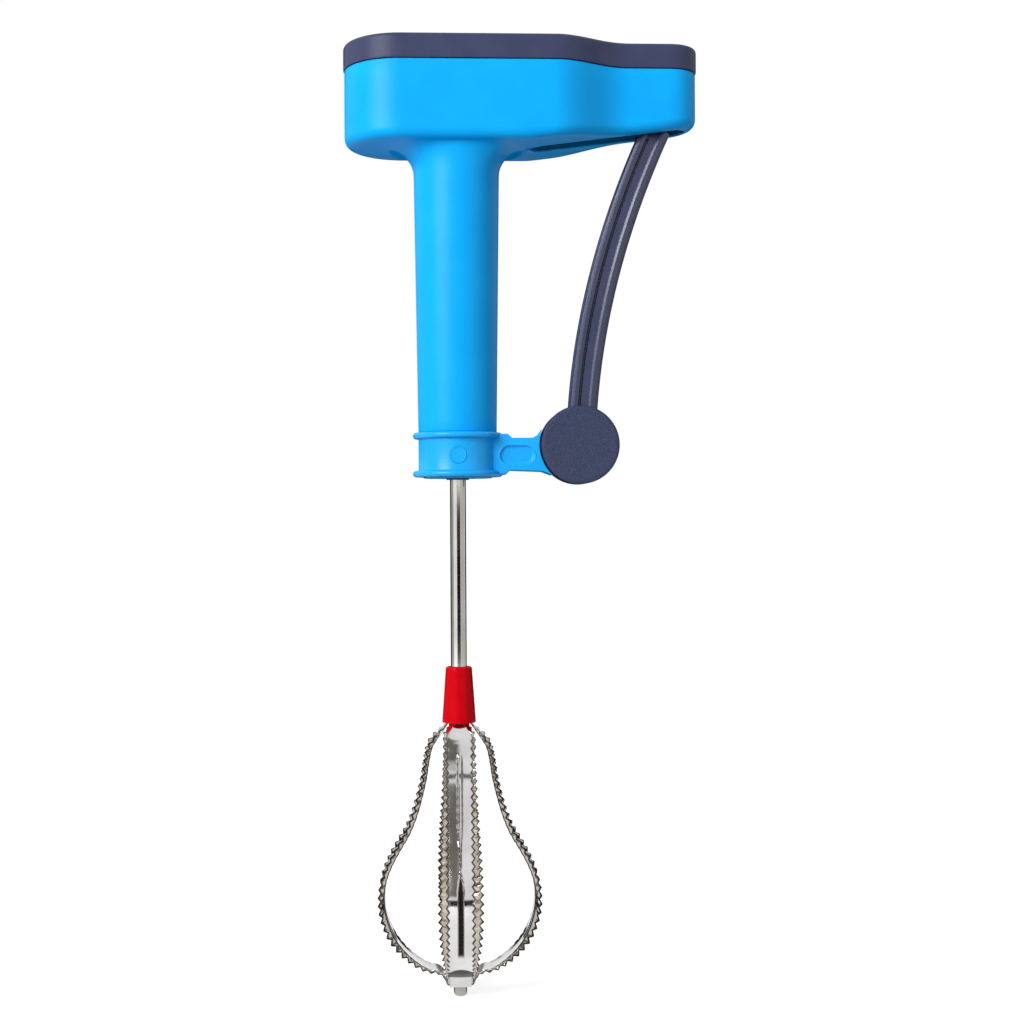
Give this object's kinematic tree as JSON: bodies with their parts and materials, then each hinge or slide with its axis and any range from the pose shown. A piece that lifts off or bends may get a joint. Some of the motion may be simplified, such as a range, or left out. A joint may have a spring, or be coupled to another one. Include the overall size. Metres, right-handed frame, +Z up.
{
  "type": "hand blender",
  "caption": "Squeeze-lever hand blender: a lever hinged at the grip drives a rack and step-up gears in the head, which spin a toothed strip whisk.",
  "frame": {"origin": "on the shaft axis, in the middle of the hand grip (mount hand_grip)", "axes": "+Z up along the shaft towards the head, -Z points down to the whisk; +X towards the nose of the head and the lever; the part is symmetric in Y apart from its gear train and spring"},
  "size_m": [0.1378, 0.0636, 0.369],
  "materials": {
    "blue_plastic": "satin moulded plastic, bright blue",
    "bracket_blue": "satin moulded plastic, bright blue",
    "slate_plastic": "fine matt moulded plastic, slate navy",
    "lever_slate": "fine matt moulded plastic, slate navy",
    "drum_slate": "fine leather-like moulded grain, slate navy",
    "red_plastic": "glossy red plastic",
    "polished_steel": "polished stainless steel rod",
    "blade_steel": "polished stainless strip",
    "pin_steel": "ground steel",
    "plate_steel": "zinc-plated steel",
    "bush_brass": "sintered bronze",
    "gear_brass": "cut brass",
    "natural_plastic": "natural acetal"
  },
  "bodies": {
    "casing": {"housing": "blue_plastic", "top_cover": "slate_plastic", "gear_plate": "plate_steel", "plate_screws": "plate_steel", "rack_guides": "natural_plastic", "floor_bush": "bush_brass", "plate_bush": "bush_brass", "end_bush": "bush_brass", "handle_end_cap": "blue_plastic", "lever_bracket": "bracket_blue", "locking_stud": "bracket_blue", "hinge_pin": "pin_steel", "return_spring": "pin_steel"},
    "lever": {"lever_arm": "lever_slate", "drum_cap_front": "drum_slate", "drum_cap_rear": "drum_slate", "drive_pin": "pin_steel"},
    "rack": {"drive_rack": "natural_plastic"},
    "gear_train": {"gear_arbor": "pin_steel", "rack_pinion": "gear_brass", "step_up_wheel": "natural_plastic"},
    "whisk": {"drive_shaft": "polished_steel", "shaft_clip": "plate_steel", "shaft_pinion": "gear_brass", "ferrule": "red_plastic", "ferrule_core": "red_plastic", "whisk_loop_side": "blade_steel", "whisk_loop_front": "blade_steel", "loop_washer": "blade_steel", "tip_rivet": "blade_steel"}
  },
  "joints": [
    {"name": "whisk_spin", "type": "hinge", "parent": "casing", "child": "whisk", "pos_m": [0, 0, 0], "axis": [0, 0, -1], "range_deg": [0, 1010.8], "stiffness_Nm_per_rad": 0.00034, "springref_deg": -851.42},
    {"name": "lever_squeeze", "type": "hinge", "parent": "casing", "child": "lever", "pos_m": [0.0474, 0, -0.0541], "axis": [0, -1, 0], "range_deg": [0, 17.1], "deforming": ["return_spring"]},
    {"name": "rack_slide", "type": "slide", "parent": "casing", "child": "rack", "axis": [-1, 0, 0], "range_m": [0, 0.03999]},
    {"name": "gear_spin", "type": "hinge", "parent": "casing", "child": "gear_train", "pos_m": [0.02195, -0.0014, 0], "axis": [0, 0, 1], "range_deg": [0, 382]}
  ],
  "couplings": [
    {"joint": "lever_squeeze", "follows": "whisk_spin", "ratio": 0.016822},
    {"joint": "rack_slide", "follows": "whisk_spin", "m_per_rad": 0.00225},
    {"joint": "gear_spin", "follows": "whisk_spin", "ratio": 0.375}
  ]
}
